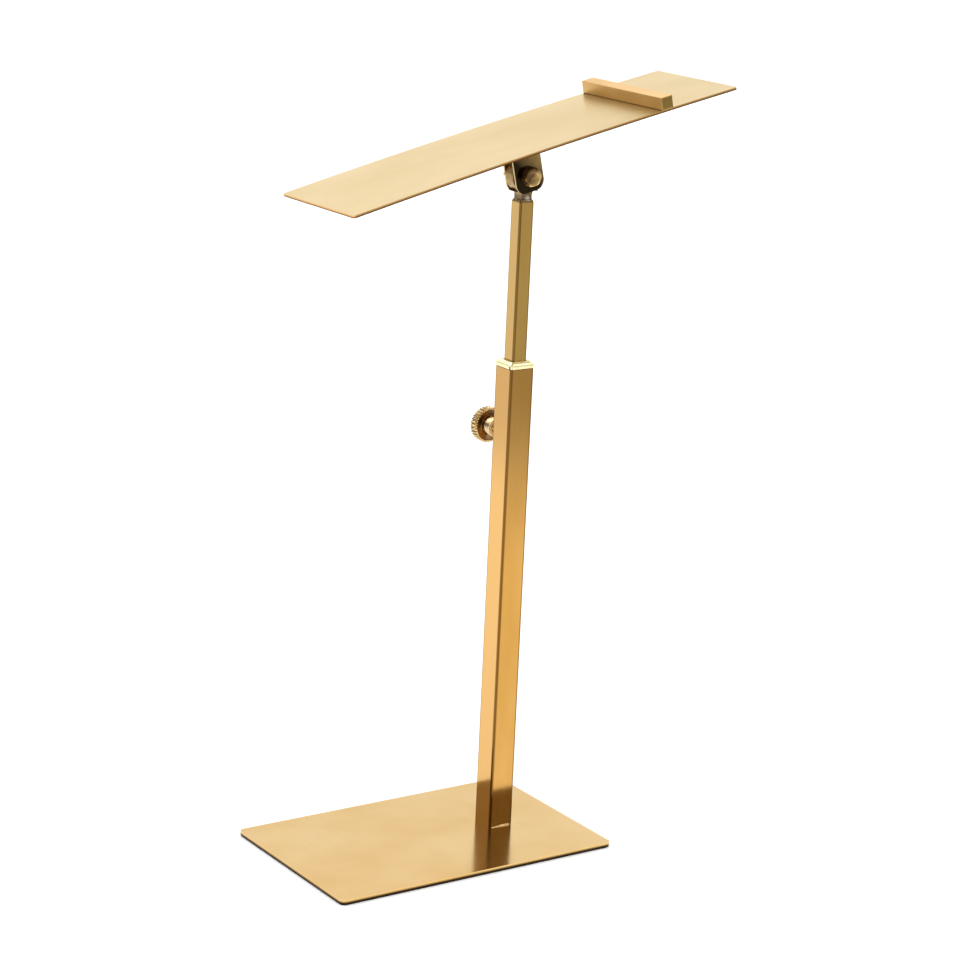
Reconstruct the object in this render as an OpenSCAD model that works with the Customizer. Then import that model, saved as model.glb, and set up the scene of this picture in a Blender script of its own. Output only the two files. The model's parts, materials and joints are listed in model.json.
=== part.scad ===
// Adjustable display stand: a square base, a clamped telescopic post and a
// tilting plate with a heel-stop bar. Millimetres, +Z up. The origin is the
// centre of the base's underside. +X runs along the base's long side, towards
// the post and the plate's raised end. The thumb screw is on the +Y side.

/* [Base] */
// Length of the base along X
base_l = 185; // [150:1:240]
// Width of the base along Y
base_w = 118; // [90:1:160]
// Thickness of the steel base plate
base_t = 2.2; // [1.8:0.1:4]
// Thickness of the foam pad under the base
pad_t = 1; // [0.8:0.1:2]
// Corner radius of the base in plan
base_r = 3.5; // [1:0.5:12]

/* [Post] */
// Distance of the post from the base's centre, along X
post_x = 48; // [20:1:70]
// Side of the outer square tube
outer_side = 16; // [15:0.5:22]
// Height of the outer tube's top above the ground
outer_top = 281.5; // [200:0.5:340]
// Side of the inner square tube
inner_side = 9.6; // [8:0.1:10]
// Wall thickness of both tubes
wall = 0.9; // [0.8:0.1:1.2]
// Length of the inner tube
inner_len = 240; // [160:1:260]
// Height of the inner tube's top above the ground, as set
inner_top = 377; // [310:1:450]

/* [Thumb screw] */
// Height of the thumb screw above the ground
screw_z = 241.9; // [120:0.1:250]
// Diameter of the knurled knob
knob_d = 21; // [16:0.5:28]
// Thickness of the knurled knob
knob_t = 6; // [4:0.5:10]
// Diameter of the knob's hub
hub_d = 11.5; // [9:0.5:14]
// Length of the knob's hub
hub_len = 6.5; // [2:0.5:8]
// Distance from the post's face to the hub, clamped
screw_reach = 7.5; // [6:0.5:14]
// Number of grooves in the knurl
knurl_n = 32; // [20:1:44]

/* [Hinge] */
// Height of the pivot above the inner tube's top
pivot_rise = 15; // [13:0.5:24]
// Radius of the round hinge eye
eye_r = 10; // [8:0.5:11]
// Thickness of the hinge eye and side of its neck
eye_t = 7.2; // [6:0.1:7.6]
// Width of the fork's ears
ear_w = 19; // [16:0.5:21]
// How far the ears reach below the pivot
ear_low = 9.3; // [8:0.1:10]
// Thickness of the fork's sheet metal
ear_t = 1.2; // [1:0.1:2]
// Distance from the pivot to the plate's underside
fork_h = 21.6; // [16:0.1:30]
// Distance across the flats of the bolt head and nut
hex_af = 10; // [10:0.5:11]

/* [Plate] */
// Length of the plate
plate_l = 260; // [160:1:320]
// Width of the plate
plate_w = 75; // [50:1:110]
// Thickness of the plate
plate_t = 1.5; // [1.2:0.1:3]
// Height of the plate's arch over its length
plate_crown = 1.5; // [0.8:0.1:4]
// Slope of the plate, in degrees
plate_tilt = 13.2; // [0:0.1:40]
// Distance of the plate's middle from the pivot, towards the low end
plate_shift = 2.7; // [0:0.1:20]
// Distance of the stop bar's middle from the plate's middle
bar_at = 79.5; // [40:0.5:80]
// Width of the stop bar
bar_w = 8; // [6:0.5:12]
// Height of the stop bar
bar_h = 7.4; // [5:0.1:14]
// How far the stop bar passes each edge of the plate
bar_over = 0.8; // [0:0.1:3]

/* [Hidden] */

$fn = 64;
cut = 1;                // overrun of a cutting shape past the solid
round_fn = 720;         // facets of the plate's very large arc

gold = "#E3BE78";
pale_gold = "#EED9A4";
polished = "#FAF0BE";
bronze = "#7A6238";

// base and foot
base_top = pad_t + base_t;
pad_inset = 0.5;        // the pad stands this far inside the base's edge
foot_bead_r = 1.3;

// tubes
tube_r = 1.2;           // outer corner radius of the square tubes
bore_side = outer_side - 2 * wall;
slip = 0.15;            // gap between a guide and what slides in it
insert_hole_r = 4;

// collar and liner
collar_side = outer_side + 0.6;
collar_h = 3;
collar_bevel = 1.2;
collar_top_side = inner_side + 2.4;
mouth_side = inner_side + 2 * slip;
liner_h = 24;
slit_w = 0.5;
slit_h = 2.3;
slit_from_corner = 1.6;

// thumb screw, measured along +Y from the post's axis
running = 0.05;         // radial clearance of a turning fit
stud_r = 3;
pad_tip_r = 2.4;
pad_tip_h = 1.3;
pin_r = 1;
pin_h = 2.5;
face_y = outer_side / 2;
tip_y = inner_side / 2 + running;
stud_y = tip_y + pad_tip_h + running;
hub_y = face_y + screw_reach;
knob_y = hub_y + hub_len;
stud_in_knob = 3;
insert_flange_r = 5;
insert_flange_h = 1.2;
insert_inner_y = inner_side / 2 + 0.5;
knurl_r = 0.62;

// sliding mast
inner_bottom = inner_top - inner_len;
inner_bore = inner_side - 2 * wall;
plug_len = 12;
shank_len = 14;
weld_h = 1.6;

// hinge
pivot_z = inner_top + pivot_rise;
bolt_r = 3;
eye_bore_r = bolt_r + running;
ear_bore_r = bolt_r + 0.2;
friction_t = 0.5;
friction_r = 7.5;
fork_gap = eye_t + 2 * (friction_t + running);
fork_w = fork_gap + 2 * ear_t;
seat_gap = 0.02;        // the arched plate falls this far towards the fork's ends
fork_top = fork_h - seat_gap;
bolt_head_h = 4.6;
bolt_len = 20;
dish_r = 3.4;
dish_h = 0.7;
washer_r = 6;
washer_t = 1;
spring_r = 5.6;
spring_t = 1.5;
spring_gap = 1;
nut_h = 5;
hex_chamfer = 0.4;
ear_r = 6;              // lower corners of the ears
bead_r = 1.6;

// plate
arch_r = plate_l * plate_l / (8 * plate_crown);
plate_corner = 1.5;
tack_r = 1.8;
tack_places = [-0.36, 0, 0.36];

// ---- shared shapes ----

// Prism on a rectangle with four round corners, standing on z = 0
module rounded_prism(l, w, h, r) {
    translate([-l / 2 + r, -w / 2, 0]) cube([l - 2 * r, w, h]);
    translate([-l / 2, -w / 2 + r, 0]) cube([l, w - 2 * r, h]);
    for (sx = [-1, 1], sy = [-1, 1])
        translate([sx * (l / 2 - r), sy * (w / 2 - r), 0]) cylinder(r = r, h = h);
}

// Square prism on z = 0
module square_prism(side, h) {
    translate([-side / 2, -side / 2, 0]) cube([side, side, h]);
}

// Square tube with round outer corners
module square_tube(side, h) {
    difference() {
        rounded_prism(side, side, h, tube_r);
        translate([0, 0, -cut]) square_prism(side - 2 * wall, h + 2 * cut);
    }
}

// Cylinder along +Y from y0 to y1
module rod_y(r, y0, y1) {
    translate([0, y0, 0]) rotate([-90, 0, 0]) cylinder(r = r, h = y1 - y0);
}

// Hexagon along +Y from y0 to y1, two flats parallel to the plate,
// with its corners turned off at each end where asked
module hex_y(y0, y1, turned_low, turned_high) {
    corner_r = hex_af / sqrt(3);
    h = y1 - y0;
    translate([0, y0, 0]) rotate([-90, 0, 0]) intersection() {
        cylinder(r = corner_r, h = h, $fn = 6);
        rotate_extrude() polygon([
            [0, 0],
            [turned_low ? corner_r - 1.3 * hex_chamfer : corner_r + cut, 0],
            [corner_r + (turned_low ? 0.1 : cut), turned_low ? hex_chamfer : 0],
            [corner_r + (turned_high ? 0.1 : cut), turned_high ? h - hex_chamfer : h],
            [turned_high ? corner_r - 1.3 * hex_chamfer : corner_r + cut, h],
            [0, h]
        ]);
    }
}

// Quarter-round bead along X, in the corner between y = 0 and z = 0
module bead_x(r, len) {
    intersection() {
        translate([-len / 2, 0, 0]) rotate([0, 90, 0]) cylinder(r = r, h = len);
        translate([-len / 2, 0, 0]) cube([len, r, r]);
    }
}

// Places children on the post's axis
module on_post() { translate([post_x, 0, 0]) children(); }

// Places children on the thumb screw's axis
module on_screw() { translate([post_x, 0, screw_z]) children(); }

// Places children at the pivot, in the plate's own directions
module on_head() { translate([post_x, 0, pivot_z]) rotate([0, -plate_tilt, 0]) children(); }

// Places children on the plate's top face, s along its length from the middle
module on_plate(s) {
    translate([-plate_shift, 0, fork_h - arch_r])
        rotate([0, s / arch_r * 180 / PI, 0])
            translate([0, 0, arch_r + plate_t]) children();
}

// ---- fixed stand ----

module base_plate() {
    color(gold) translate([0, 0, pad_t]) rounded_prism(base_l, base_w, base_t, base_r);
}

module base_pad() {
    color("#202020")
        rounded_prism(base_l - 2 * pad_inset, base_w - 2 * pad_inset, pad_t, base_r - pad_inset);
}

module outer_post() {
    color(gold) on_post() difference() {
        translate([0, 0, base_top]) square_tube(outer_side, outer_top - base_top);
        translate([0, 0, screw_z]) rod_y(insert_hole_r, face_y - wall - cut, face_y + cut);
    }
}

module foot_welds() {
    color("#CDB58A") on_post() for (turn = [0, 180]) rotate([0, 0, turn])
        translate([0, outer_side / 2, base_top]) bead_x(foot_bead_r, outer_side - 2 * tube_r);
}

module top_collar() {
    color(polished) on_post() translate([0, 0, outer_top]) difference() {
        union() {
            rounded_prism(collar_side, collar_side, collar_h, tube_r);
            translate([0, 0, collar_h]) rotate([0, 0, 45]) cylinder(
                r1 = (collar_side - 0.8) / sqrt(2), r2 = collar_top_side / sqrt(2),
                h = collar_bevel, $fn = 4);
        }
        translate([0, 0, -cut]) square_prism(mouth_side, collar_h + collar_bevel + 2 * cut);
        translate([-collar_side / 2 - cut, -collar_side / 2 + slit_from_corner, -cut])
            cube([cut + slit_w, slit_w, slit_h + cut]);
    }
}

module collar_liner() {
    color("#2B2B2B") on_post() translate([0, 0, outer_top - liner_h]) difference() {
        square_prism(bore_side, liner_h);
        translate([0, 0, -cut]) square_prism(mouth_side, liner_h + 2 * cut);
    }
}

module thread_insert() {
    color(bronze) on_screw() difference() {
        union() {
            rod_y(insert_hole_r, insert_inner_y, face_y);
            rod_y(insert_flange_r, face_y, face_y + insert_flange_h);
        }
        rod_y(stud_r + running, insert_inner_y - cut, face_y + insert_flange_h + cut);
    }
}

// ---- thumb screw ----

module thumb_knob() {
    rim_r = knob_d / 2;
    bevel = 1.4;
    color(bronze) on_screw() difference() {
        translate([0, knob_y, 0]) rotate([-90, 0, 0]) union() {
            rotate_extrude() polygon([
                [0, 0], [rim_r - bevel, 0], [rim_r, bevel],
                [rim_r, knob_t - bevel], [rim_r - bevel, knob_t], [0, knob_t]
            ]);
            translate([0, 0, -hub_len]) cylinder(r = hub_d / 2, h = hub_len);
        }
        for (i = [0 : knurl_n - 1]) rotate([0, i * 360 / knurl_n, 0])
            translate([rim_r + 0.1, 0, 0]) rod_y(knurl_r, knob_y - cut, knob_y + knob_t + cut);
        rod_y(stud_r, hub_y - cut, knob_y + stud_in_knob);
    }
}

module screw_stud() {
    color("#8A7440") on_screw() difference() {
        rod_y(stud_r, stud_y, knob_y + stud_in_knob);
        rod_y(pin_r + running, stud_y - cut, stud_y + pin_h);
    }
}

module clamp_pad() {
    color("#B08D3E") on_screw() {
        rod_y(pad_tip_r, tip_y, tip_y + pad_tip_h);
        rod_y(pin_r, tip_y, stud_y + pin_h - 0.2);
    }
}

// ---- sliding mast ----

module inner_post() {
    color(gold) on_post() translate([0, 0, inner_bottom]) square_tube(inner_side, inner_len);
}

module post_guide() {
    color("#2B2B2B") on_post() {
        translate([0, 0, inner_bottom - plug_len])
            square_prism(bore_side - 2 * slip, plug_len);
        translate([0, 0, inner_bottom]) square_prism(inner_bore, plug_len);
    }
}

module knuckle() {
    color(gold) on_post() difference() {
        union() {
            translate([0, 0, pivot_z]) rod_y(eye_r, -eye_t / 2, eye_t / 2);
            translate([0, 0, inner_top - shank_len])
                square_prism(eye_t, shank_len + pivot_rise - eye_r / 2);
        }
        translate([0, 0, pivot_z]) rod_y(eye_bore_r, -eye_t, eye_t);
    }
}

module neck_weld() {
    color("#CFC6B0") on_post() translate([0, 0, inner_top]) difference() {
        rotate([0, 0, 45]) cylinder(
            r1 = (inner_side - 0.2) / sqrt(2), r2 = (eye_t + 0.5) / sqrt(2), h = weld_h, $fn = 4);
        translate([0, 0, -cut]) square_prism(eye_t, weld_h + 2 * cut);
    }
}

module friction_washers() {
    color("#3A3328") on_post() translate([0, 0, pivot_z]) for (side = [-1, 1])
        translate([0, side * (eye_t + friction_t) / 2, 0]) difference() {
            rod_y(friction_r, -friction_t / 2, friction_t / 2);
            rod_y(ear_bore_r, -friction_t, friction_t);
        }
}

// ---- tilting head ----

module fork_bracket() {
    color(bronze) on_head() difference() {
        union() {
            for (side = [-1, 1]) translate([0, side * (fork_gap + ear_t) / 2, 0]) {
                translate([-ear_w / 2, -ear_t / 2, ear_r - ear_low])
                    cube([ear_w, ear_t, fork_top + ear_low - ear_r]);
                translate([ear_r - ear_w / 2, -ear_t / 2, -ear_low])
                    cube([ear_w - 2 * ear_r, ear_t, ear_r]);
                for (end = [-1, 1]) translate([end * (ear_w / 2 - ear_r), 0, ear_r - ear_low])
                    rod_y(ear_r, -ear_t / 2, ear_t / 2);
            }
            translate([-ear_w / 2, -fork_w / 2, fork_top - ear_t]) cube([ear_w, fork_w, ear_t]);
        }
        rod_y(ear_bore_r, -fork_w, fork_w);
    }
}

module fork_welds() {
    color("#8F7A50") on_head() for (turn = [0, 180]) rotate([0, 0, turn])
        translate([0, fork_w / 2, fork_top]) mirror([0, 0, 1]) bead_x(bead_r, ear_w - 2);
}

module pivot_bolt() {
    head_y = -fork_w / 2 - bolt_head_h;
    color(gold) on_head() difference() {
        union() {
            hex_y(head_y, -fork_w / 2, true, false);
            rod_y(bolt_r, -fork_w / 2, bolt_len - fork_w / 2);
        }
        translate([0, head_y, 0]) rotate([-90, 0, 0]) translate([0, 0, -dish_h])
            cylinder(r1 = 2 * dish_r - 1, r2 = 1, h = 2 * dish_h);
    }
}

module pivot_washer() {
    color("#B79A5A") on_head() difference() {
        rod_y(washer_r, fork_w / 2, fork_w / 2 + washer_t);
        rod_y(ear_bore_r, 0, fork_w);
    }
}

module spring_washer() {
    y0 = fork_w / 2 + washer_t;
    color("#9C8450") on_head() difference() {
        rod_y(spring_r, y0, y0 + spring_t);
        rod_y(ear_bore_r, y0 - cut, y0 + spring_t + cut);
        translate([-spring_gap / 2, y0 - cut, 0]) cube([spring_gap, spring_t + 2 * cut, washer_r]);
    }
}

module pivot_nut() {
    y0 = fork_w / 2 + washer_t + spring_t;
    color(gold) on_head() difference() {
        hex_y(y0, y0 + nut_h, true, true);
        rod_y(bolt_r, y0 - cut, y0 + nut_h + cut);
    }
}

module top_plate() {
    color(pale_gold) on_head() intersection() {
        translate([-plate_shift, 0, fork_h - arch_r]) rotate([90, 0, 0])
            translate([0, 0, -plate_w]) difference() {
                cylinder(r = arch_r + plate_t, h = 2 * plate_w, $fn = round_fn);
                translate([0, 0, -cut])
                    cylinder(r = arch_r, h = 2 * plate_w + 2 * cut, $fn = round_fn);
            }
        translate([-plate_shift, 0, fork_h - 2 * plate_crown])
            rounded_prism(plate_l, plate_w, 3 * plate_crown + plate_t, plate_corner);
    }
}

module stop_bar() {
    len = plate_w + 2 * bar_over;
    color(gold) on_head() on_plate(bar_at)
        translate([-bar_w / 2, -len / 2, 0]) cube([bar_w, len, bar_h]);
}

module stop_bar_tacks() {
    color("#B9A06A") on_head() on_plate(bar_at) translate([bar_w / 2, 0, 0])
        for (place = tack_places) translate([0, place * plate_w, 0]) intersection() {
            sphere(r = tack_r);
            translate([0, -tack_r, 0]) cube([tack_r, 2 * tack_r, tack_r]);
        }
}

base_plate();
base_pad();
outer_post();
foot_welds();
top_collar();
collar_liner();
thread_insert();
thumb_knob();
screw_stud();
clamp_pad();
inner_post();
post_guide();
knuckle();
neck_weld();
friction_washers();
fork_bracket();
fork_welds();
pivot_bolt();
pivot_washer();
spring_washer();
pivot_nut();
top_plate();
stop_bar();
stop_bar_tacks();
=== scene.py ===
import bpy
import bmesh
import json
import math
from mathutils import Matrix, Vector, noise


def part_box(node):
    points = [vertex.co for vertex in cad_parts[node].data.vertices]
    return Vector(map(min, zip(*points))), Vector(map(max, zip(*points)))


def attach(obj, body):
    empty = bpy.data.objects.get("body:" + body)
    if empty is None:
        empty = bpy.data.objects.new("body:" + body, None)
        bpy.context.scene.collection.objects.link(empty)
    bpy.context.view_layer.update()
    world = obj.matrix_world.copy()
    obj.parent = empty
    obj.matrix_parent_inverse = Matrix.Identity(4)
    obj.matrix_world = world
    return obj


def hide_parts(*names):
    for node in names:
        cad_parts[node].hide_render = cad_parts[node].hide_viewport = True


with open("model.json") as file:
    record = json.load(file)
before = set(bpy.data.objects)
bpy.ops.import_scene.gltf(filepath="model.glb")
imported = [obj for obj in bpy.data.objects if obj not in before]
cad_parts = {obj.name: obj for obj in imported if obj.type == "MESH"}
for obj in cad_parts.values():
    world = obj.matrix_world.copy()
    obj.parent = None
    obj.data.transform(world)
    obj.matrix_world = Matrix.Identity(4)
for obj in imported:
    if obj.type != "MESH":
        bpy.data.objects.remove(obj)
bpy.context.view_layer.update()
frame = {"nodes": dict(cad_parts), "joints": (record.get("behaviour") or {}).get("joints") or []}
print("frame loaded:", len(frame["nodes"]), "nodes")

mm = 0.001
headTurn = Matrix.Rotation(math.radians(-13.2), 4, "Y")   # the plate's slope at rest
joints = {j["name"]: j for j in frame["joints"]}
pivot = Vector(joints["plate_tilt"]["pos_m"])
screwAxis = Vector(joints["screw_turn"]["pos_m"])
postAxis = Vector((pivot.x, pivot.y, 0))
headUp = headTurn @ Vector((0, 0, 1))
headAlong = headTurn @ Vector((1, 0, 0))
tau = 2 * math.pi


# ground rules shared by all pieces

def linear(hexText):
    # sRGB hex to the linear colour that the shaders want
    channels = [int(hexText[i:i + 2], 16) / 255 for i in (1, 3, 5)]
    return [c / 12.92 if c <= 0.04045 else ((c + 0.055) / 1.055) ** 2.4 for c in channels] + [1.0]


def addNode(tree, kind, settings=None, links=None):
    node = tree.nodes.new(kind)
    for key, value in (settings or {}).items():
        if isinstance(key, str) and hasattr(node, key):
            setattr(node, key, value)
        else:
            node.inputs[key].default_value = value
    for key, source in (links or {}).items():
        tree.links.new(source, node.inputs[key])
    return node


def newMaterial(name):
    material = bpy.data.materials.new(name)
    material.use_nodes = True
    tree = material.node_tree
    tree.nodes.clear()
    output = addNode(tree, "ShaderNodeOutputMaterial")
    return material, tree, output


def grainNoise(tree, grain, detail=3.0):
    # noise stretched along the brushing: grain is the line's size in mm along x, y and z
    place = addNode(tree, "ShaderNodeTexCoord")
    stretch = addNode(tree, "ShaderNodeMapping", {"Scale": [1 / (g * mm) for g in grain]},
                      {"Vector": place.outputs["Object"]})
    return addNode(tree, "ShaderNodeTexNoise", {"Scale": 1.0, "Detail": detail, "Roughness": 0.6},
                   {"Vector": stretch.outputs["Vector"]})


def ramp(tree, source, stops):
    node = addNode(tree, "ShaderNodeValToRGB", None, {"Fac": source})
    elements = node.color_ramp.elements
    while len(elements) < len(stops):
        elements.new(0.5)
    for element, (position, colour) in zip(elements, stops):
        element.position = position
        element.color = colour
    return node


def remap(tree, source, low, high, fromLow=0.3, fromHigh=0.7):
    return addNode(tree, "ShaderNodeMapRange",
                   {"From Min": fromLow, "From Max": fromHigh, "To Min": low, "To Max": high},
                   {"Value": source})


# brushed gold: steel with a vacuum gold coating over a belt-brushed surface. Long fine lines, a satin
# sheen that smears reflections a little, and a coating whose tone drifts slowly over the part
def brushedGold(name, look):
    material, tree, output = newMaterial(name)
    lines = grainNoise(tree, look["grain"])
    drift = grainNoise(tree, look["drift"], 2.0)
    tone = ramp(tree, drift.outputs["Fac"], [(0.35, linear(look["deep"])), (0.65, linear(look["light"]))])
    streak = remap(tree, lines.outputs["Fac"], 1 - look["streak"], 1 + look["streak"])
    colour = addNode(tree, "ShaderNodeMix", {"data_type": "RGBA", "blend_type": "MULTIPLY", 0: 1.0},
                     {6: tone.outputs["Color"], 7: streak.outputs["Result"]})
    final = colour.outputs[2]
    if "tube" in look:
        final = tubeTone(tree, final, look["tube"])
    final = addTones(tree, final, look)
    rough = remap(tree, lines.outputs["Fac"], look["rough"] - look["roughSpread"],
                  look["rough"] + look["roughSpread"])
    bump = addNode(tree, "ShaderNodeBump", {"Strength": look["bump"], "Distance": 0.02 * mm},
                   {"Height": lines.outputs["Fac"]})
    shader = addNode(tree, "ShaderNodeBsdfPrincipled", {"Metallic": 1.0},
                     {"Base Color": final, "Roughness": rough.outputs["Result"],
                      "Normal": bump.outputs["Normal"]})
    tree.links.new(shader.outputs["BSDF"], output.inputs["Surface"])
    return material


def tubeTone(tree, colour, tube):
    # painted light and shade: the faces that look along ±X get a painted tone of their own, and painted
    # shade darkens the tube along its corners
    place = addNode(tree, "ShaderNodeTexCoord")
    split = addNode(tree, "ShaderNodeSeparateXYZ", None, {"Vector": place.outputs["Object"]})
    gaps = []
    for axis, centre in (("X", postAxis.x), ("Y", postAxis.y)):
        offset = addNode(tree, "ShaderNodeMath", {"operation": "SUBTRACT", 1: centre},
                         {0: split.outputs[axis]})
        size = addNode(tree, "ShaderNodeMath", {"operation": "ABSOLUTE"}, {0: offset.outputs[0]})
        gaps.append(size.outputs[0])
    sideFaceLight = addNode(tree, "ShaderNodeMath", {"operation": "GREATER_THAN"}, {0: gaps[0], 1: gaps[1]})
    faces = addNode(tree, "ShaderNodeMix", {"data_type": "RGBA", 7: linear(tube["sideFaceLight"])},
                    {0: sideFaceLight.outputs[0], 6: colour})
    nearest = addNode(tree, "ShaderNodeMath", {"operation": "MINIMUM"}, {0: gaps[0], 1: gaps[1]})
    start = tube["side"] / 2 - tube["reach"]
    mask = remap(tree, nearest.outputs[0], 0.0, tube["amount"], start * mm, (start + tube["soft"]) * mm)
    return addNode(tree, "ShaderNodeMix", {"data_type": "RGBA", 7: linear(tube["corner"])},
                   {0: mask.outputs["Result"], 6: faces.outputs[2]}).outputs[2]


def edgeTone(tree, colour, edge):
    # a tone that fades out between two heights along "up"; it can follow the plate's arch
    place = addNode(tree, "ShaderNodeTexCoord")
    shift = addNode(tree, "ShaderNodeVectorMath", {"operation": "SUBTRACT", 1: edge["origin"]},
                    {0: place.outputs["Object"]})
    height = addNode(tree, "ShaderNodeVectorMath", {"operation": "DOT_PRODUCT", 1: edge["up"]},
                     {0: shift.outputs["Vector"]})
    along = addNode(tree, "ShaderNodeVectorMath", {"operation": "DOT_PRODUCT", 1: headAlong},
                    {0: shift.outputs["Vector"]})
    square = addNode(tree, "ShaderNodeMath", {"operation": "MULTIPLY"},
                     {0: along.outputs["Value"], 1: along.outputs["Value"]})
    arched = addNode(tree, "ShaderNodeMath", {"operation": "MULTIPLY_ADD", 1: edge.get("arch", 0.0)},
                     {0: square.outputs[0], 2: height.outputs["Value"]})
    mask = remap(tree, arched.outputs[0], edge["amount"], 0.0, edge["low"] * mm, edge["high"] * mm)
    return addNode(tree, "ShaderNodeMix", {"data_type": "RGBA", 7: linear(edge["colour"])},
                   {0: mask.outputs["Result"], 6: colour}).outputs[2]


def paintedFaceLight(tree, colour, face):
    # painted light and shade: faces that look along one axis, either way, get their own tone
    place = addNode(tree, "ShaderNodeTexCoord")
    facing = addNode(tree, "ShaderNodeVectorMath", {"operation": "DOT_PRODUCT", 1: face["axis"]},
                     {0: place.outputs["Normal"]})
    size = addNode(tree, "ShaderNodeMath", {"operation": "ABSOLUTE"}, {0: facing.outputs["Value"]})
    mask = remap(tree, size.outputs[0], 0.0, face["amount"], 0.3, 0.6)
    return addNode(tree, "ShaderNodeMix", {"data_type": "RGBA", 7: linear(face["colour"])},
                   {0: mask.outputs["Result"], 6: colour}).outputs[2]


def spotTone(tree, colour, spot):
    # one round patch, softer towards its rim
    place = addNode(tree, "ShaderNodeTexCoord")
    gap = addNode(tree, "ShaderNodeVectorMath", {"operation": "DISTANCE", 1: spot["centre"]},
                  {0: place.outputs["Object"]})
    mask = remap(tree, gap.outputs["Value"], spot["amount"], 0.0, spot["core"] * mm,
                 spot["radius"] * mm)
    return addNode(tree, "ShaderNodeMix", {"data_type": "RGBA", 7: linear(spot["colour"])},
                   {0: mask.outputs["Result"], 6: colour}).outputs[2]


def addTones(tree, colour, look):
    for edge in look.get("edges", []):
        colour = edgeTone(tree, colour, edge)
    for face in look.get("faces", []):
        colour = paintedFaceLight(tree, colour, face)
    for spot in look.get("spots", []):
        colour = spotTone(tree, colour, spot)
    return colour


# a plainer metal: plated, turned or tumbled, with fine irregular mottling in tone and gloss
def mottledMetal(name, look):
    material, tree, output = newMaterial(name)
    patches = grainNoise(tree, [look["patch"]] * 3, 4.0)
    fine = grainNoise(tree, look["fine"], 2.0)
    tone = ramp(tree, patches.outputs["Fac"], [(0.35, linear(look["deep"])), (0.65, linear(look["light"]))])
    rough = remap(tree, fine.outputs["Fac"], look["rough"] - look["roughSpread"],
                  look["rough"] + look["roughSpread"])
    bump = addNode(tree, "ShaderNodeBump", {"Strength": look["bump"], "Distance": 0.03 * mm},
                   {"Height": fine.outputs["Fac"]})
    shader = addNode(tree, "ShaderNodeBsdfPrincipled", {"Metallic": look.get("metal", 1.0)},
                     {"Base Color": addTones(tree, tone.outputs["Color"], look),
                      "Roughness": rough.outputs["Result"], "Normal": bump.outputs["Normal"]})
    tree.links.new(shader.outputs["BSDF"], output.inputs["Surface"])
    return material


# moulded or foamed plastics: no metal, a grain in the surface and a little unevenness in the colour
def dullPlastic(name, look):
    material, tree, output = newMaterial(name)
    grain = grainNoise(tree, [look["grain"]] * 3, 3.0)
    tone = ramp(tree, grain.outputs["Fac"], [(0.3, linear(look["deep"])), (0.7, linear(look["light"]))])
    bump = addNode(tree, "ShaderNodeBump", {"Strength": look["bump"], "Distance": 0.1 * mm},
                   {"Height": grain.outputs["Fac"]})
    shader = addNode(tree, "ShaderNodeBsdfPrincipled",
                     {"Metallic": 0.0, "Roughness": look["rough"], "IOR": look["ior"]},
                     {"Base Color": tone.outputs["Color"], "Normal": bump.outputs["Normal"]})
    tree.links.new(shader.outputs["BSDF"], output.inputs["Surface"])
    return material


# real brushing lines are about 0.05 mm apart; they are drawn at 0.3 mm so that they show at all
plateShift = 2.7 * mm       # from the pivot to the plate's middle, towards the low end
archRadius = 5.633          # of the plate's long arch, in metres
plateEdge = {"origin": pivot - plateShift * headAlong, "up": headUp, "arch": 0.5 / archRadius}
plateGold = brushedGold("platePaleBrushedGold", {
    "light": "#DBC392", "deep": "#D3BB85", "grain": (30, 0.35, 30), "drift": (90, 40, 90),
    "streak": 0.03, "rough": 0.33, "roughSpread": 0.04, "bump": 0.03,
    # painted highlight along the top of the plate's side edge, then painted shade lower down the side
    "edges": [{**plateEdge, "low": 22.88, "high": 23.04, "colour": "#F2AE5E", "amount": 0.8},
              {**plateEdge, "low": 22.15, "high": 22.45, "colour": "#6E4A20", "amount": 0.9}]})
baseGold = brushedGold("baseBrushedGold", {
    "light": "#E7C384", "deep": "#E0B872", "grain": (0.35, 40, 40), "drift": (70, 50, 50),
    "streak": 0.03, "rough": 0.16, "roughSpread": 0.03, "bump": 0.02,
    # painted shade on the base plate's side edge, full at the bottom and gone near the top
    "edges": [{"origin": Vector((0, 0, 0)), "up": Vector((0, 0, 1)), "low": 1.5, "high": 2.75,
               "colour": "#3E2608", "amount": 1.0}]})
outerTubeGold = brushedGold("outerTubeBrushedGold", {
    "light": "#D2A259", "deep": "#C8964B", "grain": (0.3, 0.3, 60), "drift": (30, 30, 90),
    "streak": 0.03, "rough": 0.11, "roughSpread": 0.02, "bump": 0.015,
    # tube: painted shade along the corners and a painted tone on the ±X faces
    "tube": {"side": 16.0, "reach": 1.7, "soft": 0.9, "corner": "#5E3A0A", "amount": 0.85,
             "sideFaceLight": "#D9AB69"}})
innerTubeGold = brushedGold("innerTubeBrushedGold", {
    "light": "#DEB566", "deep": "#D4AA5A", "grain": (0.3, 0.3, 60), "drift": (30, 30, 90),
    "streak": 0.03, "rough": 0.11, "roughSpread": 0.02, "bump": 0.015,
    # tube: painted shade along the corners and a painted tone on the ±X faces
    "tube": {"side": 9.6, "reach": 1.5, "soft": 0.7, "corner": "#5E3A0A", "amount": 0.8,
             "sideFaceLight": "#D8B271"}})
barGold = brushedGold("barBrushedGold", {
    "light": "#E2BD80", "deep": "#D8AF6E", "grain": (0.4, 40, 0.4), "drift": (30, 60, 30),
    "streak": 0.04, "rough": 0.40, "roughSpread": 0.05, "bump": 0.04,
    # painted shade along the bar's foot, where it sits on the plate
    "edges": [{**plateEdge, "low": 23.15, "high": 23.75, "colour": "#3A2608", "amount": 0.9}],
    # painted shade on the bar's two end faces
    "faces": [{"axis": Vector((0, 1, 0)), "colour": "#A88848", "amount": 0.9}]})
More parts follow.
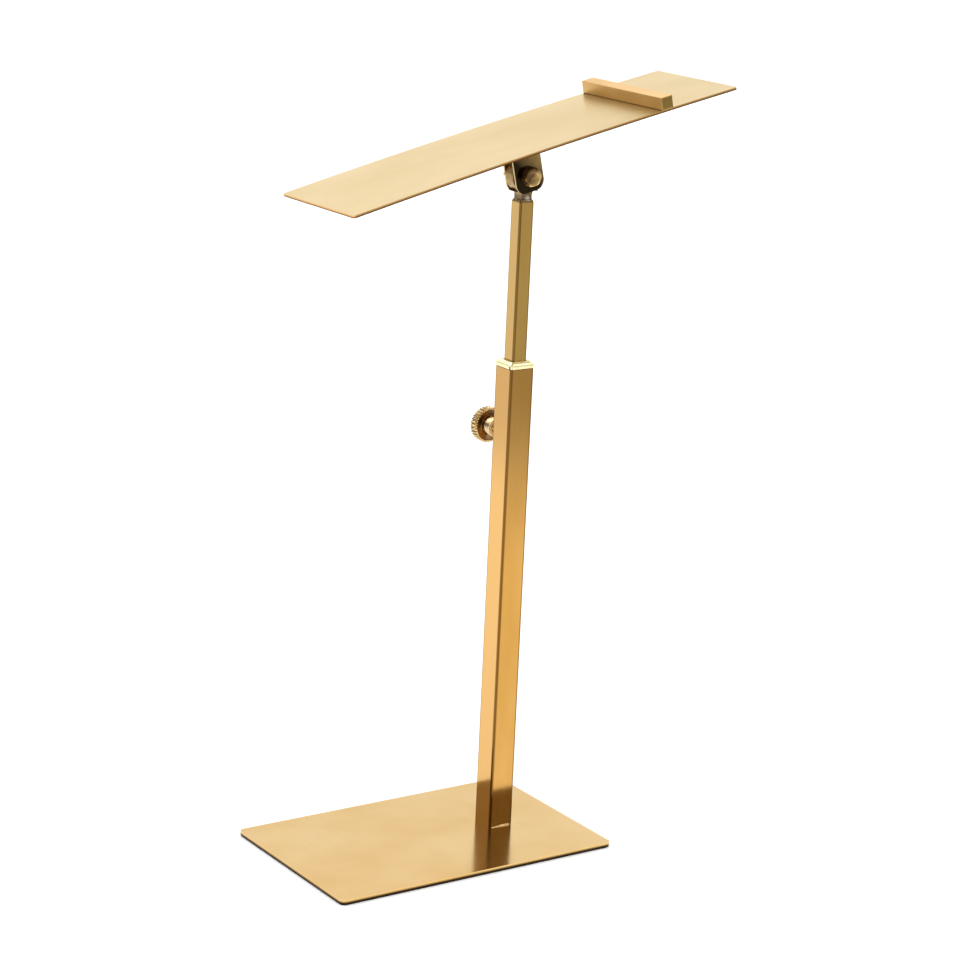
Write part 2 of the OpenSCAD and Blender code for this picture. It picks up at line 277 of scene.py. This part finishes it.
collarGold = mottledMetal("collarPolishedGold", {
    "light": "#FFF8CE", "deep": "#F8EDB2", "patch": 9, "fine": (2, 2, 2),
    "rough": 0.12, "roughSpread": 0.02, "bump": 0.02, "metal": 0.55})
# painted shade for the collar's shadow gap and its slit
gapPaintedShade = mottledMetal("collarGapPaintedShade", {
    "light": "#5A4420", "deep": "#3C2C12", "patch": 3, "fine": (0.5, 0.5, 0.5),
    "rough": 0.5, "roughSpread": 0.1, "bump": 0.1, "metal": 0.5})
# painted shade across the fork's ears: dark at one corner, fading out towards the other
forkShade = headAlong + 0.8 * headUp + Vector((0, 1.5, 0))   # from the fork's dark corner to its light one
forkBronze = mottledMetal("forkTumbledBronze", {
    "light": "#D0AE72", "deep": "#B28E54", "patch": 6, "fine": (0.5, 0.5, 0.5),
    "rough": 0.16, "roughSpread": 0.04, "bump": 0.04,
    "edges": [{"origin": pivot, "up": forkShade.normalized(),
               "low": -4.2, "high": 4.6, "colour": "#372B1C", "amount": 1.0}],
    # painted highlight on the ears' edges that face along the plate
    "faces": [{"axis": headAlong, "colour": "#C6AE80", "amount": 0.95}]})
silverSpot = {"centre": pivot + Vector((0.6, -3.8, -12.9)) * mm, "core": 0.3, "radius": 2.2,
              "colour": "#F2EAE2", "amount": 0.9}
knuckleGold = mottledMetal("knuckleWornGold", {
    "light": "#BC9E66", "deep": "#90703A", "patch": 5, "fine": (0.5, 0.5, 0.5),
    "rough": 0.20, "roughSpread": 0.05, "bump": 0.05, "metal": 0.6, "spots": [silverSpot],
    "edges": [{"origin": pivot, "up": Vector((0, 0, 1)), "low": -12.0, "high": -8.5,
               "colour": "#7A6444", "amount": 0.9}]})
knobGold = mottledMetal("knobTurnedBrass", {
    "light": "#DAC090", "deep": "#B69660", "patch": 5, "fine": (0.3, 2, 0.3),
    "rough": 0.18, "roughSpread": 0.05, "bump": 0.05})
# painted shade for the knob's inner face between hub and rim, and its bore
knobPaintedShade = mottledMetal("knobFacePaintedShade", {
    "light": "#967650", "deep": "#765838", "patch": 4, "fine": (0.3, 2, 0.3),
    "rough": 0.22, "roughSpread": 0.05, "bump": 0.05})
# painted light on the hub's end face
hubPaintedLight = mottledMetal("hubFacePaintedLight", {
    "light": "#FFF0D2", "deep": "#F6DDB4", "patch": 4, "fine": (0.4, 2, 0.4),
    "rough": 0.30, "roughSpread": 0.05, "bump": 0.05, "metal": 0.45})
# painted shade across the bolt head, fading out towards its light side
boltShade = headAlong - 1.2 * headUp   # across the bolt head, from its dark side to its light one
headGold = mottledMetal("boltHeadPlatedGold", {
    "light": "#FFE09A", "deep": "#E4BA6A", "patch": 3, "fine": (0.6, 0.6, 0.6),
    "rough": 0.13, "roughSpread": 0.04, "bump": 0.04, "metal": 0.7,
    "edges": [{"origin": pivot, "up": boltShade.normalized(), "low": -0.8,
               "high": 2.6, "colour": "#6E4E28", "amount": 0.95}]})
screwGold = mottledMetal("screwPlatedGold", {
    "light": "#D8B066", "deep": "#A47A34", "patch": 3, "fine": (0.6, 0.6, 0.6),
    "rough": 0.13, "roughSpread": 0.04, "bump": 0.04})
weldMetal = mottledMetal("weldGroundSteel", {
    "light": "#B89C68", "deep": "#806842", "patch": 1.8, "fine": (0.4, 0.4, 0.4),
    "rough": 0.30, "roughSpread": 0.10, "bump": 0.3, "metal": 0.7, "spots": [silverSpot]})
footWeldMetal = mottledMetal("footWeldGroundSteel", {
    "light": "#D8BE98", "deep": "#A88858", "patch": 2.4, "fine": (0.4, 0.4, 0.4),
    "rough": 0.42, "roughSpread": 0.08, "bump": 0.2})
blackFoam = dullPlastic("padClosedCellFoam", {
    "light": "#1B1712", "deep": "#0E0C09", "grain": 0.5, "rough": 0.85, "ior": 1.45, "bump": 0.5})
blackNylon = dullPlastic("guideMouldedNylon", {
    "light": "#1F1F20", "deep": "#161617", "grain": 0.25, "rough": 0.45, "ior": 1.53, "bump": 0.1})
darkFibre = dullPlastic("washerPressedFibre", {
    "light": "#3A2E20", "deep": "#241B12", "grain": 0.3, "rough": 0.75, "ior": 1.5, "bump": 0.4})
print("materials made")


# CAD nodes that stay: their own solids with softened edges
cadFinish = {
    "base_plate": (baseGold, 0.8), "base_pad": (blackFoam, 0.15), "outer_post": (outerTubeGold, 0.15),
    "collar_liner": (blackNylon, 0.2), "thread_insert": (knobGold, 0.15), "clamp_pad": (knobGold, 0.2),
    "inner_post": (innerTubeGold, 0.15), "post_guide": (blackNylon, 0.4),
    "friction_washers": (darkFibre, 0.08), "fork_bracket": (forkBronze, 0.25),
    "pivot_washer": (screwGold, 0.12), "top_plate": (plateGold, 0.3), "stop_bar": (barGold, 0.7),
    "stop_bar_tacks": (weldMetal, 0.2),
}


def finishCadNode(name, material, edge):
    piece = frame["nodes"][name]
    piece.data.materials.clear()
    piece.data.materials.append(material)
    weld = piece.modifiers.new("joinSeams", "WELD")
    weld.merge_threshold = 0.001 * mm
    bevel = piece.modifiers.new("softEdges", "BEVEL")
    bevel.width = edge * mm
    bevel.segments = 3
    bevel.limit_method = "ANGLE"
    bevel.angle_limit = math.radians(35)
    normals = piece.modifiers.new("flatFaces", "WEIGHTED_NORMAL")
    normals.keep_sharp = False
    for polygon in piece.data.polygons:
        polygon.use_smooth = True


for nodeName, (material, edge) in cadFinish.items():
    finishCadNode(nodeName, material, edge)
print("CAD nodes finished")


# shared tools for the rebuilt pieces; their rings are lists of points in mm

def loft(mesh, rings, looped=False, bands=None):
    # skins neighbouring rings with quads; an open loft gets end caps, a looped one closes on itself
    corners = [[mesh.verts.new(Vector(point) * mm) for point in ring] for ring in rings]
    count = len(rings[0])
    spans = len(rings) if looped else len(rings) - 1
    for i in range(spans):
        low, high = corners[i], corners[(i + 1) % len(rings)]
        for k in range(count):
            face = mesh.faces.new((low[k], low[(k + 1) % count], high[(k + 1) % count], high[k]))
            face.smooth = True
            face.material_index = bands[i] if bands else 0
    if not looped:
        for ring, place in ((corners[0][::-1], 0), (corners[-1], -1)):
            cap = mesh.faces.new(ring)
            cap.material_index = bands[place] if bands else 0


def makePiece(name, mesh, materials, nodes, body, turn=None, sharp=32):
    bmesh.ops.recalc_face_normals(mesh, faces=mesh.faces)
    data = bpy.data.meshes.new(name)
    mesh.to_mesh(data)
    mesh.free()
    for material in materials:
        data.materials.append(material)
    data.set_sharp_from_angle(angle=math.radians(sharp))
    if turn:
        data.transform(turn)
    piece = bpy.data.objects.new(name, data)
    bpy.context.scene.collection.objects.link(piece)
    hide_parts(*nodes)
    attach(piece, body)
    return piece


def axleRing(y, count, radius):
    # a ring round an axle along Y; radius is a number or a function of the angle
    ring = []
    for k in range(count):
        angle = tau * k / count
        r = radius(angle) if callable(radius) else radius
        ring.append((r * math.cos(angle), y, r * math.sin(angle)))
    return ring


def hexRadius(flats, limit):
    # distance to a hexagon's side, cut to a circle where the corners are turned off
    return lambda angle: min(flats / 2 / math.cos(angle % (tau / 6) - tau / 12), limit)


def threadRings(start, end, radius, thread, count):
    # a screw thread as rings whose radius rises and falls along one helix
    rings = []
    steps = max(1, round((end - start) / thread["pitch"] * thread["perTurn"]))
    for i in range(steps + 1):
        y = start + (end - start) * i / steps
        fade = min(1.0, (end - y) / thread["runOut"])

        def helix(angle, y=y, fade=fade):
            phase = (y / thread["pitch"] - angle / tau) % 1.0
            return radius - thread["depth"] * (abs(2 * phase - 1) + 0.6 * (1 - fade))
        rings.append(axleRing(y, count, helix))
    return rings


atScrew = Matrix.Translation((screwAxis.x, 0, screwAxis.z))
atHead = Matrix.Translation(pivot) @ headTurn


# thumb screw: hub, disc with a bevelled knurl, and the threaded stud that it turns
knob = {"hubFace": 15.5, "disc": 22.0, "end": 28.0, "hubR": 5.5, "rimR": 10.45, "bore": 3.05,
        "teeth": 32, "perTooth": 6, "toothDepth": 0.75}


def makeKnob():
    count = knob["teeth"] * knob["perTooth"]

    def knurl(radius, share):
        def wave(angle):
            phase = (angle / tau * knob["teeth"]) % 1.0
            return radius - share * knob["toothDepth"] * (1 - min(1.0, 1.9 * abs(2 * phase - 1)))
        return wave
    hubR, rimR = knob["hubR"], knob["rimR"]
    face, disc, end = knob["hubFace"], knob["disc"], knob["end"]
    # place along the axle, radius and the material of the band that starts there
    # band 1 carries the painted shade, band 2 the painted light of the hub's end face
    stations = [
        (disc + 3.0, knob["bore"], 1), (face + 0.5, knob["bore"], 2), (face, knob["bore"] + 0.5, 2),
        (face, hubR - 0.5, 2), (face + 0.15, hubR - 0.15, 2), (face + 0.5, hubR, 0),
        (disc - 0.5, hubR, 1), (disc + 0.15, hubR + 0.35, 1), (disc + 0.45, hubR + 0.9, 1),
        (disc + 0.45, rimR - 1.75, 1), (disc + 0.1, rimR - 1.45, 0), (disc, rimR - 1.25, 0),
        (disc + 0.1, knurl(rimR - 0.95, 0.4), 0), (disc + 0.9, knurl(rimR, 1.0), 0),
        (end - 0.9, knurl(rimR, 1.0), 0), (end - 0.1, knurl(rimR - 0.8, 0.5), 0),
        (end, rimR - 1.7, 0), (end, 4.0, 0), (end - 0.25, 2.5, 0)]
    mesh = bmesh.new()
    loft(mesh, [axleRing(y, count, radius) for y, radius, band in stations],
         bands=[band for y, radius, band in stations])
    makePiece("thumbKnob", mesh, [knobGold, knobPaintedShade, hubPaintedLight], ["thumb_knob"], "thumb_screw",
              atScrew)


stud = {"start": 6.25, "end": 25.0, "radius": 2.97, "pitch": 1.0, "depth": 0.45, "perTurn": 8,
        "runOut": 1.0, "count": 36}


def makeStud():
    mesh = bmesh.new()
    rings = [axleRing(stud["start"], stud["count"], 1.3),
             axleRing(stud["start"], stud["count"], 2.1)]
    rings += threadRings(stud["start"] + 0.5, stud["end"], stud["radius"], stud, stud["count"])
    loft(mesh, rings)
    makePiece("screwStud", mesh, [screwGold], ["screw_stud"], "thumb_screw", atScrew, 60)


# hinge bolt with a dished head, plain shank and thread, and its nut and split washer
bolt = {"head": 4.6, "ear": 5.35, "flats": 10.0, "turned": 5.62, "shankR": 2.97, "end": 14.65,
        "threadFrom": 5.5, "pitch": 1.0, "depth": 0.45, "perTurn": 8, "runOut": 0.9, "count": 48}


def makeBolt():
    count, ear = bolt["count"], -bolt["ear"]
    front = ear - bolt["head"]
    full = bolt["flats"]
    rings = [axleRing(front + 0.62, count, 1.4), axleRing(front + 0.5, count, 2.6),
             axleRing(front + 0.1, count, 3.3), axleRing(front, count, 3.65),
             axleRing(front, count, hexRadius(full, 4.85)),
             axleRing(front + 0.2, count, hexRadius(full, 5.2)),
             axleRing(front + 0.55, count, hexRadius(full, bolt["turned"])),
             axleRing(ear - 0.25, count, hexRadius(full, bolt["turned"])),
             axleRing(ear, count, hexRadius(full, 5.3)), axleRing(ear, count, 3.1),
             axleRing(ear + 0.1, count, bolt["shankR"])]
    rings += threadRings(bolt["threadFrom"], bolt["end"] - 0.4, bolt["shankR"], bolt, count)
    rings.append(axleRing(bolt["end"], count, 2.1))
    mesh = bmesh.new()
    loft(mesh, rings)
    makePiece("pivotBolt", mesh, [headGold], ["pivot_bolt"], "display_head", atHead, 25)


nut = {"start": 7.85, "height": 5.0, "flats": 10.0, "bore": 3.03, "count": 48}


def makeNut():
    count, low, high = nut["count"], nut["start"], nut["start"] + nut["height"]
    rings = [axleRing(low + 0.45, count, nut["bore"]), axleRing(low, count, nut["bore"] + 0.45)]
    rings += [axleRing(y, count, hexRadius(nut["flats"], limit))
              for y, limit in ((low, 4.85), (low + 0.5, 5.7), (high - 0.5, 5.7), (high, 4.85))]
    rings += [axleRing(high, count, nut["bore"] + 0.45), axleRing(high - 0.45, count, nut["bore"])]
    mesh = bmesh.new()
    loft(mesh, rings, looped=True)
    makePiece("pivotNut", mesh, [screwGold], ["pivot_nut"], "display_head", atHead, 25)


springWasher = {"start": 6.35, "inner": 3.25, "outer": 5.55, "thick": 1.15, "rise": 0.33,
                "gap": 0.2, "soft": 0.12, "steps": 60}


def makeSpringWasher():
    mesh = bmesh.new()
    inner, outer, thick = springWasher["inner"], springWasher["outer"], springWasher["thick"]
    soft = springWasher["soft"]
    section = [(inner + soft, 0), (outer - soft, 0), (outer, soft), (outer, thick - soft),
               (outer - soft, thick), (inner + soft, thick), (inner, thick - soft), (inner, soft)]
    rings = []
    for i in range(springWasher["steps"] + 1):
        share = i / springWasher["steps"]
        angle = springWasher["gap"] / 2 + (tau - springWasher["gap"]) * share + tau / 4
        base = springWasher["start"] + springWasher["rise"] * share
        rings.append([(r * math.cos(angle), base + y, r * math.sin(angle)) for r, y in section])
    loft(mesh, rings)
    makePiece("springWasher", mesh, [screwGold], ["spring_washer"], "display_head",
              atHead, 40)


makeKnob()
makeStud()
makeBolt()
makeNut()
makeSpringWasher()
print("screws made")


# hinge eye and neck: one outline with the round eye flowing into the neck, edges rounded over
knuckle = {"eyeR": 9.98, "neck": 7.2, "low": 363.0, "pivot": 392.0, "fillet": 2.6, "edge": 0.5,
           "steps": 56}


def makeKnuckle():
    half = knuckle["neck"] / 2
    fillet = knuckle["fillet"]
    # the fillet's centre lies beside the neck, one fillet radius from it and from the eye
    across = half + fillet
    drop = math.sqrt((knuckle["eyeR"] + fillet) ** 2 - across ** 2)
    meet = math.atan2(-drop, across)
    outline = [(half, knuckle["low"] - knuckle["pivot"])]
    for i in range(7):
        angle = math.pi - (math.pi + meet) * i / 6
        outline.append((across - fillet * math.cos(math.pi - angle),
                        -drop + fillet * math.sin(math.pi - angle)))
    sweep = math.pi / 2 - meet
    for i in range(1, knuckle["steps"] + 1):
        angle = meet + sweep * i / knuckle["steps"]
        outline.append((knuckle["eyeR"] * math.cos(angle), knuckle["eyeR"] * math.sin(angle)))
    outline += [(-x, z) for x, z in outline[-2::-1]]
    y = half - 0.01
    mesh = bmesh.new()
    loft(mesh, [[(x, side, z) for x, z in outline] for side in (-y, y)])
    piece = makePiece("hingeKnuckle", mesh, [knuckleGold], ["knuckle"], "inner_mast",
                      Matrix.Translation(pivot))
    bevel = piece.modifiers.new("roundedEdges", "BEVEL")
    bevel.width = knuckle["edge"] * mm
    bevel.segments = 4
    bevel.limit_method = "ANGLE"
    bevel.angle_limit = math.radians(50)


# square collar: a wide bevel round the mouth, a shadow gap below and the slit by its corner
collar = {"top": 4.18, "half": 8.28, "corner": 1.5, "mouth": 4.96, "slitFrom": -7.35, "slitTo": -6.45,
          "slitDeep": 0.8, "slitTop": 2.3, "gapTop": 0.35, "perSide": 36, "perCorner": 8}


def squareRing(half, corner, z, perSide, perCorner, slit=None):
    ring = []
    reach = half - corner
    for quarter in range(4):
        for i in range(perCorner):
            angle = tau / 4 * (quarter + i / perCorner)
            cx, cy = [(reach, reach), (-reach, reach), (-reach, -reach), (reach, -reach)][quarter]
            ring.append([cx + corner * math.cos(angle), cy + corner * math.sin(angle), z])
        turn = tau / 4 * (quarter + 1)
        for i in range(perSide):
            along = reach - 2 * reach * i / perSide
            x = half * math.cos(turn) + along * math.sin(turn)
            y = half * math.sin(turn) - along * math.cos(turn)
            ring.append([x, y, z])
    if slit:
        for point in ring:
            if point[0] < 0 and collar["slitFrom"] < point[1] < collar["slitTo"]:
                point[0] += slit
    return ring


def makeCollar():
    half, corner, top = collar["half"], collar["corner"], collar["top"]
    deep = collar["slitDeep"]
    # height, half side, corner radius and slit depth, from the shadow gap up and in through the mouth
    stations = [(0.0, half - 0.45, corner, deep), (0.34, half - 0.45, corner, deep),
                (0.36, half - 0.1, corner, deep), (0.5, half, corner, deep),
                (collar["slitTop"] - 0.02, half, corner, deep), (collar["slitTop"], half, corner, 0),
                (2.5, half, corner, 0), (2.6, half - 0.08, corner, 0), (4.05, half - 1.55, corner, 0),
                (top, half - 1.75, 1.3, 0), (top, half - 2.75, 1.1, 0),
                (top - 0.12, collar["mouth"] + 0.15, 0.7, 0), (top - 0.4, collar["mouth"], 0.6, 0),
                (0.0, collar["mouth"], 0.6, 0)]
    rings = [squareRing(side, r, z, collar["perSide"], collar["perCorner"], slit)
             for z, side, r, slit in stations]
    mesh = bmesh.new()
    loft(mesh, rings, looped=True)
    # faces in the shadow gap and in the slit get the painted shade
    for face in mesh.faces:
        centre = face.calc_center_median() / mm
        inSlit = centre.x < 0 and collar["slitFrom"] < centre.y < collar["slitTo"]
        if centre.z < collar["gapTop"] or (inSlit and centre.z < collar["slitTop"]):
            face.material_index = 1
    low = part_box("top_collar")[0].z
    makePiece("topCollar", mesh, [collarGold, gapPaintedShade], ["top_collar"], "stand",
              Matrix.Translation((postAxis.x, postAxis.y, low)), 40)


# weld beads: lumpy, never outside the round that the CAD gives them
def lump(place, size):
    return 1 - size * (0.5 + 0.5 * noise.noise(Vector(place)))


neckWeld = {"height": 1.58, "foot": 4.66, "top": 3.95, "bore": 3.55, "lump": 0.05, "pitch": 1.6}


def makeNeckWeld():
    mesh = bmesh.new()
    rings = []
    foot, top, height = neckWeld["foot"], neckWeld["top"], neckWeld["height"]
    for share in (0.0, 0.25, 0.5, 0.75, 1.0):
        bulge = math.sqrt(1 - share * share)
        ring = squareRing(top + (foot - top) * bulge, 0.9, height * share, 14, 6)
        for point in ring:
            size = lump([c / neckWeld["pitch"] for c in point], neckWeld["lump"])
            point[0] *= size
            point[1] *= size
        rings.append(ring)
    rings.append(squareRing(neckWeld["bore"], 0.5, height - 0.1, 14, 6))
    rings.append(squareRing(neckWeld["bore"], 0.5, 0.0, 14, 6))
    loft(mesh, rings, looped=True)
    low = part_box("neck_weld")[0].z
    makePiece("neckWeld", mesh, [weldMetal], ["neck_weld"], "inner_mast",
              Matrix.Translation((postAxis.x, postAxis.y, low)), 60)


def beadRings(length, radius, thin, place, side, down, seed):
    # a fillet bead along X in the corner at (y, z) = place, growing from thin to full along its length
    rings = []
    steps = 30
    for i in range(steps + 1):
        share = i / steps
        ends = min(1.0, 6 * share + 0.25, 6 * (1 - share) + 0.25)
        size = radius * (thin + (1 - thin) * share) * ends * lump((share * length / 2.2, seed, 0), 0.25)
        x = length * (share - 0.5)
        ring = [(x, place[0], place[1])]
        for k in range(7):
            angle = tau / 4 * k / 6
            sag = size * (1 - 0.22 * math.sin(2 * angle))
            ring.append((x, place[0] + side * sag * math.cos(angle),
                         place[1] + down * sag * math.sin(angle)))
        rings.append(ring)
    return rings


footWeld = {"length": 13.4, "radius": 1.28, "thin": 0.30, "postFace": 8.0}
forkWeld = {"length": 16.8, "radius": 1.55, "thin": 0.85, "plateUnder": 21.57}


def makeBeads():
    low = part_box("foot_welds")[0]
    mesh = bmesh.new()
    for side in (-1, 1):
        loft(mesh, beadRings(footWeld["length"], footWeld["radius"], footWeld["thin"],
                             (side * footWeld["postFace"], low.z / mm), side, 1, 3 + side))
    makePiece("footWelds", mesh, [footWeldMetal], ["foot_welds"], "stand",
              Matrix.Translation(postAxis), 60)
    mesh = bmesh.new()
    for side in (-1, 1):
        loft(mesh, beadRings(forkWeld["length"], forkWeld["radius"], forkWeld["thin"],
                             (side * bolt["ear"], forkWeld["plateUnder"]), side, -1, 8 + side))
    makePiece("forkWelds", mesh, [weldMetal], ["fork_welds"], "display_head", atHead, 60)


makeKnuckle()
makeCollar()
makeNeckWeld()
makeBeads()
print("hinge, collar and welds made")


# studio: a pale floor under one wide overhead light; painted light fall-off in its colour keeps it
# brightest around and behind the stand and darker towards the front right and, seen from the camera, the
# left.
# The wall behind the stand on the right is bright, the camera's side of the room is dim
studio = {
    "floorSize": 30.0, "floorColour": "#F8F8F7",
    "frontPaintedFalloff": {"from": (0, 0), "along": (0.564, -0.825), "start": 0.50, "end": 1.15, "level": 0.42},
    "leftPaintedFalloff": {"from": (-0.868, -1.308), "along": (-0.907, 0.421), "start": 0.36, "end": 0.62,
                 "level": 0.72},
    "top": 1.75, "topStart": 0.42, "topEnd": 0.66,
    "wall": 1.02, "wallAim": (0.50, 0.84, 0.24), "wallStart": 0.62, "wallEnd": 0.86,
    "dimFront": 0.20, "dimBack": 0.38,
    "keyPlace": (-0.5, 1.2, 1.9), "keyAim": (0.05, 0, 0.15), "keySize": 0.8, "keyPower": 5.0,
}


# painted light fall-off: the floor's colour darkens along one direction, between two distances
def paintedFloorFalloff(tree, fade):
    place = addNode(tree, "ShaderNodeTexCoord")
    shift = addNode(tree, "ShaderNodeVectorMath",
                    {"operation": "SUBTRACT", 1: (fade["from"][0], fade["from"][1], 0)},
                    {0: place.outputs["Object"]})
    reach = addNode(tree, "ShaderNodeVectorMath",
                    {"operation": "DOT_PRODUCT", 1: (fade["along"][0], fade["along"][1], 0)},
                    {0: shift.outputs["Vector"]})
    level = remap(tree, reach.outputs["Value"], 1.0, fade["level"], fade["start"], fade["end"])
    level.interpolation_type = "SMOOTHSTEP"
    return level.outputs["Result"]


def makeFloor():
    mesh = bpy.data.meshes.new("studioFloor")
    half = studio["floorSize"] / 2
    mesh.from_pydata([(-half, -half, 0), (half, -half, 0), (half, half, 0), (-half, half, 0)], [],
                     [(0, 1, 2, 3)])
    floor = bpy.data.objects.new("studioFloor", mesh)
    bpy.context.scene.collection.objects.link(floor)
    material, tree, output = newMaterial("floorPaper")
    front = paintedFloorFalloff(tree, studio["frontPaintedFalloff"])
    left = paintedFloorFalloff(tree, studio["leftPaintedFalloff"])
    level = addNode(tree, "ShaderNodeMath", {"operation": "MULTIPLY"}, {0: front, 1: left})
    colour = addNode(tree, "ShaderNodeMix",
                     {"data_type": "RGBA", "blend_type": "MULTIPLY", 0: 1.0,
                      6: linear(studio["floorColour"])}, {7: level.outputs[0]})
    shader = addNode(tree, "ShaderNodeBsdfDiffuse", None, {"Color": colour.outputs[2]})
    tree.links.new(shader.outputs["BSDF"], output.inputs["Surface"])
    mesh.materials.append(material)


def makeSoftbox(name, place, size, power, aim):
    light = bpy.data.lights.new(name, "AREA")
    light.shape = "SQUARE"
    light.size = size
    light.energy = power
    box = bpy.data.objects.new(name, light)
    box.location = place
    box.rotation_mode = "QUATERNION"
    box.rotation_quaternion = (Vector(aim) - Vector(place)).to_track_quat("-Z", "Y")
    bpy.context.scene.collection.objects.link(box)


def makeWorld():
    world = bpy.data.worlds.new("studioWorld")
    world.use_nodes = True
    tree = world.node_tree
    tree.nodes.clear()
    direction = addNode(tree, "ShaderNodeTexCoord")
    split = addNode(tree, "ShaderNodeSeparateXYZ", None, {"Vector": direction.outputs["Generated"]})
    wallSide = addNode(tree, "ShaderNodeVectorMath",
                       {"operation": "DOT_PRODUCT", 1: Vector(studio["wallAim"]).normalized()},
                       {0: direction.outputs["Generated"]})
    dim = remap(tree, wallSide.outputs["Value"], studio["dimFront"], studio["dimBack"], -0.4, 0.5)
    wall = remap(tree, wallSide.outputs["Value"], 0.0, 1.0, studio["wallStart"], studio["wallEnd"])
    wall.interpolation_type = "SMOOTHSTEP"
    top = remap(tree, split.outputs["Z"], 0.0, 1.0, studio["topStart"], studio["topEnd"])
    top.interpolation_type = "SMOOTHSTEP"
    walled = addNode(tree, "ShaderNodeMix", {"data_type": "FLOAT", 3: studio["wall"]},
                     {0: wall.outputs["Result"], 2: dim.outputs["Result"]})
    lit = addNode(tree, "ShaderNodeMix", {"data_type": "FLOAT", 3: studio["top"]},
                  {0: top.outputs["Result"], 2: walled.outputs[0]})
    light = addNode(tree, "ShaderNodeBackground", {"Color": (1, 1, 1, 1)}, {"Strength": lit.outputs[0]})
    addNode(tree, "ShaderNodeOutputWorld", None, {"Surface": light.outputs["Background"]})
    bpy.context.scene.world = world


# the camera stands to the left of the front and looks a little down
cameraLook = {"aim": (0.0287, 0.0018, 0.2161), "azimuth": -34.38, "elevation": 15.01, "roll": 2.58,
              "distance": 1.6436, "lens": 107.33}


def makeCamera():
    data = bpy.data.cameras.new("mainCamera")
    data.lens = cameraLook["lens"]
    data.sensor_width = 36
    data.clip_end = 100
    camera = bpy.data.objects.new("mainCamera", data)
    azimuth = math.radians(cameraLook["azimuth"])
    elevation = math.radians(cameraLook["elevation"])
    roll = math.radians(cameraLook["roll"])
    forward = Vector((-math.sin(azimuth) * math.cos(elevation), math.cos(azimuth) * math.cos(elevation),
                      -math.sin(elevation)))
    right = Vector((math.cos(azimuth), math.sin(azimuth), 0))
    up = right.cross(forward)
    turnedRight = right * math.cos(roll) + up * math.sin(roll)
    turnedUp = up * math.cos(roll) - right * math.sin(roll)
    place = Vector(cameraLook["aim"]) - forward * cameraLook["distance"]
    camera.matrix_world = Matrix.Translation(place) @ Matrix(
        (turnedRight, turnedUp, -forward)).transposed().to_4x4()
    bpy.context.scene.collection.objects.link(camera)
    bpy.context.scene.camera = camera


makeFloor()
makeSoftbox("keySoftbox", studio["keyPlace"], studio["keySize"], studio["keyPower"], studio["keyAim"])
makeWorld()
makeCamera()
bpy.context.scene.view_settings.view_transform = "Standard"
print("studio and camera made")
